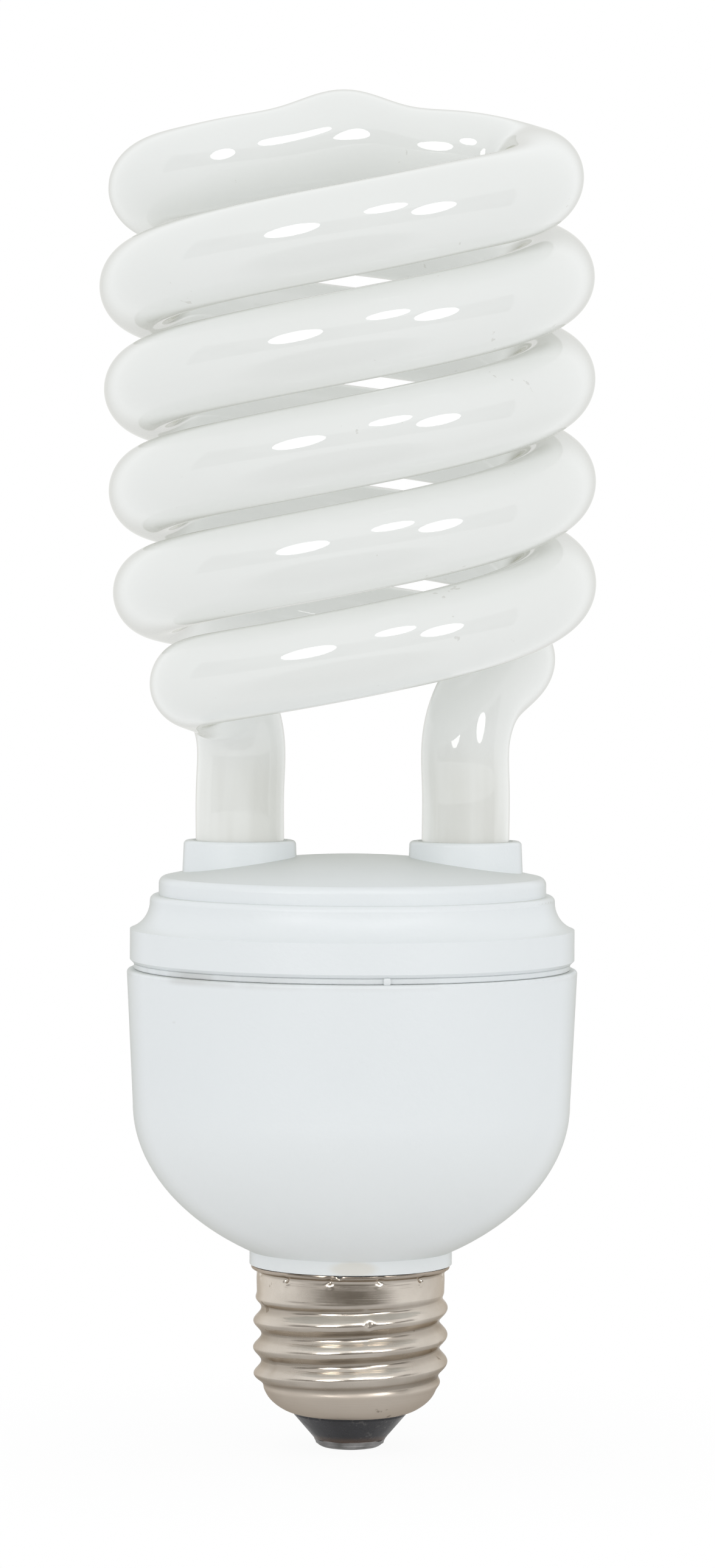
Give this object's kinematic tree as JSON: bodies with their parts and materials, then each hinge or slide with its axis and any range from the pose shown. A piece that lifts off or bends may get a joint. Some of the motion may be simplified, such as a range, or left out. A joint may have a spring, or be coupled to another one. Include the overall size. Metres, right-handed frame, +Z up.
{
  "type": "spiral energy saving bulb",
  "caption": "Spiral fluorescent lamp: a double-helix glass tube on a moulded ballast housing with a large screw cap.",
  "frame": {"origin": "on the screw cap axis, at the flat bottom of the centre contact", "axes": "+Z up the cap axis to the spiral; the two tube legs stand at -X and +X; -Y is the side that the picture shows"},
  "size_m": [0.0686, 0.0688, 0.183],
  "materials": {
    "phosphor_glass": "glossy glass over an off-white phosphor coat",
    "white_moulding": "satin moulded white plastic",
    "leg_cement": "matt white cement",
    "nickelled_shell": "nickel-plated rolled sheet, handled",
    "black_insulator": "glossy black insulator",
    "tinned_contact": "dull solder and tinned plate",
    "board_laminate": "tan laminate",
    "capacitor_sleeve": "dark sleeve",
    "bobbin_moulding": "dark moulding",
    "ferrite": "sintered ferrite",
    "copper_wire": "enamelled copper",
    "black_moulding": "epoxy moulding",
    "dipped_resin": "dipped resin",
    "resistor_lacquer": "lacquer",
    "thermistor_disc": "lacquered disc",
    "tinned_wire": "tinned wire",
    "lead_insulation": "insulated wire",
    "sleeve_rubber": "shrunk sleeve"
  },
  "bodies": {
    "root": {"spiral_tube": "phosphor_glass", "tube_cover": "white_moulding", "left_leg_cement": "leg_cement", "right_leg_cement": "leg_cement", "ballast_housing": "white_moulding", "screw_shell": "nickelled_shell", "cap_insulator": "black_insulator", "centre_contact": "tinned_contact", "contact_solder": "tinned_contact", "circuit_board": "board_laminate", "bulk_capacitor": "capacitor_sleeve", "choke_bobbin": "bobbin_moulding", "choke_core": "ferrite", "choke_winding": "copper_wire", "toroid_core": "ferrite", "toroid_windings": "copper_wire", "upper_transistor": "black_moulding", "lower_transistor": "black_moulding", "resonant_capacitor": "dipped_resin", "coupling_capacitor": "dipped_resin", "filter_capacitor": "dipped_resin", "input_choke_core": "ferrite", "input_choke_winding": "copper_wire", "rectifier_diodes": "black_moulding", "resistors": "resistor_lacquer", "diac": "resistor_lacquer", "thermistor": "thermistor_disc", "wire_wrap_pins": "tinned_wire", "filament_leads": "tinned_wire", "contact_lead": "lead_insulation", "fuse_resistor": "resistor_lacquer", "fuse_sleeve": "sleeve_rubber", "shell_lead": "tinned_wire"}
  },
  "joints": []
}
